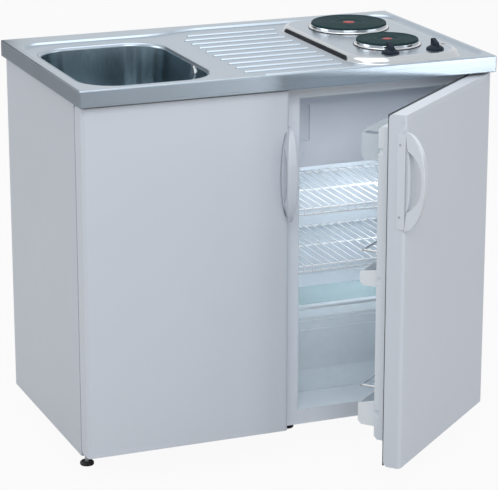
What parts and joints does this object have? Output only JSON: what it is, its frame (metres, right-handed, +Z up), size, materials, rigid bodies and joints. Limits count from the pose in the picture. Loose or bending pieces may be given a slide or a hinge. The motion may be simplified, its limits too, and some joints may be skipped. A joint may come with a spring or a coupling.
{
  "type": "kitchenette unit",
  "caption": "Kitchenette: steel worktop with pressed sink, ribbed drainer and raised hob over a sink cupboard and a refrigerator whose door stands open.",
  "frame": {"origin": "on the floor, below the middle of the box round the unit with its refrigerator door open as in the picture", "axes": "+X to the right as one faces the doors, +Y towards the wall, +Z up"},
  "size_m": [1, 0.9279, 0.9333],
  "materials": {
    "worktop_steel": "brushed stainless steel with a polished hob front",
    "board": "chipboard",
    "bowl_steel": "drawn stainless steel, brushed",
    "fitting_chrome": "polished",
    "hose_rubber": "matte",
    "waste_plastic": "matte polypropylene",
    "hotplate_iron": "blackened, with turned grooves",
    "ring_chrome": "polished",
    "zinc_steel": "zinc plated sheet",
    "switch_ceramic": "moulded switch housing",
    "knob_plastic": "satin graphite",
    "black_plastic": "matte",
    "side_paint": "satin white-grey enamel",
    "back_board": "hardboard, lacquered white-grey",
    "magnet_rubber": "matte",
    "hinge_steel": "zinc plated",
    "door_paint": "satin white enamel",
    "cap_plastic": "satin",
    "handle_plastic": "satin gloss",
    "case_paint": "satin white enamel",
    "liner_plastic": "vacuum-formed, glossy",
    "foot_rubber": "matte",
    "freezer_aluminium": "white coated aluminium",
    "flap_plastic": "moulded, glossy",
    "coated_wire": "white plastic-coated wire",
    "shelf_glass": "toughened",
    "clear_plastic": "clear bluish plastic, like glass",
    "lamp_plastic": "translucent white",
    "dial_plastic": "satin",
    "compressor_paint": "gloss black",
    "condenser_paint": "matte black",
    "foam": null,
    "gasket_rubber": "soft white-grey",
    "rack_plastic": "glossy",
    "rail_chrome": "polished wire"
  },
  "bodies": {
    "unit": {"worktop": "worktop_steel", "support_board": "board", "sink_bowl": "bowl_steel", "overflow_plate": "fitting_chrome", "overflow_hose": "hose_rubber", "waste_flange": "fitting_chrome", "waste_body": "waste_plastic", "trap_cup": "waste_plastic", "drain_pipe": "waste_plastic", "hotplate_rear": "hotplate_iron", "hotplate_front": "hotplate_iron", "ring_rear": "ring_chrome", "ring_front": "ring_chrome", "plate_clamps": "zinc_steel", "hob_tray": "zinc_steel", "hob_switches": "switch_ceramic", "cable_gland": "black_plastic", "side_panel": "side_paint", "partition": "side_paint", "cupboard_floor": "side_paint", "cupboard_back": "back_board", "door_magnet": "magnet_rubber", "cup_hinges": "hinge_steel", "fridge_case": "case_paint", "case_foam": "foam", "fridge_liner": "liner_plastic", "fridge_pads": "foot_rubber", "fridge_hinges": "hinge_steel", "freezer_box": "freezer_aluminium", "shelf_frames": "coated_wire", "shelf_wires": "coated_wire", "glass_shelf": "shelf_glass", "glass_trim": "liner_plastic", "lamp_housing": "lamp_plastic", "compressor": "compressor_paint", "compressor_plate": "zinc_steel", "condenser": "condenser_paint", "drip_pan": "black_plastic", "foot_stems": "zinc_steel", "foot_pads": "foot_rubber"},
    "fridge_door": {"fridge_door_skin": "door_paint", "fridge_door_foam": "foam", "fridge_door_caps": "cap_plastic", "fridge_door_liner": "liner_plastic", "door_gasket": "gasket_rubber", "fridge_handle": "handle_plastic", "egg_rack": "clear_plastic", "middle_rack": "rack_plastic", "bottle_rack": "rack_plastic", "rack_rails": "rail_chrome"},
    "cupboard_door": {"cup_door_skin": "door_paint", "cup_door_caps": "cap_plastic", "cup_handle": "handle_plastic"},
    "egg_lid": {"egg_lid": "clear_plastic"},
    "freezer_flap": {"freezer_flap": "flap_plastic"},
    "crisper": {"crisper": "clear_plastic"},
    "knob_left": {"knob_left": "knob_plastic"},
    "knob_right": {"knob_right": "knob_plastic"},
    "thermostat_dial": {"thermostat_dial": "dial_plastic"},
    "strainer_basket": {"strainer_basket": "fitting_chrome"}
  },
  "joints": [
    {"name": "fridge_door_hinge", "type": "hinge", "parent": "unit", "child": "fridge_door", "pos_m": [0.484, -0.09841, 0.4], "axis": [0, 0, 1], "range_deg": [-41, 69]},
    {"name": "cupboard_door_hinge", "type": "hinge", "parent": "unit", "child": "cupboard_door", "pos_m": [-0.4805, -0.09841, 0.4], "axis": [0, 0, -1], "range_deg": [0, 105]},
    {"name": "egg_lid_hinge", "type": "hinge", "parent": "fridge_door", "child": "egg_lid", "pos_m": [0.26082, -0.19834, 0.79375], "axis": [0.7547, 0.6561, 0], "range_deg": [0, 80]},
    {"name": "freezer_flap_hinge", "type": "hinge", "parent": "unit", "child": "freezer_flap", "pos_m": [0.44, 0.03159, 0.72], "axis": [0, 0, 1], "range_deg": [0, 35]},
    {"name": "crisper_slide", "type": "slide", "parent": "unit", "child": "crisper", "axis": [0, -1, 0], "range_m": [0, 0.06]},
    {"name": "knob_left_turn", "type": "hinge", "parent": "unit", "child": "knob_left", "pos_m": [0.268, -0.05841, 0.915], "axis": [0, 0, -1], "continuous": true},
    {"name": "knob_right_turn", "type": "hinge", "parent": "unit", "child": "knob_right", "pos_m": [0.381, -0.05841, 0.915], "axis": [0, 0, -1], "continuous": true},
    {"name": "thermostat_turn", "type": "hinge", "parent": "unit", "child": "thermostat_dial", "pos_m": [0.42, 0.11359, 0.58], "axis": [-1, 0, 0], "range_deg": [0, 270]},
    {"name": "strainer_lift", "type": "slide", "parent": "unit", "child": "strainer_basket", "axis": [0, 0, 1], "range_m": [0, 0.06]}
  ]
}
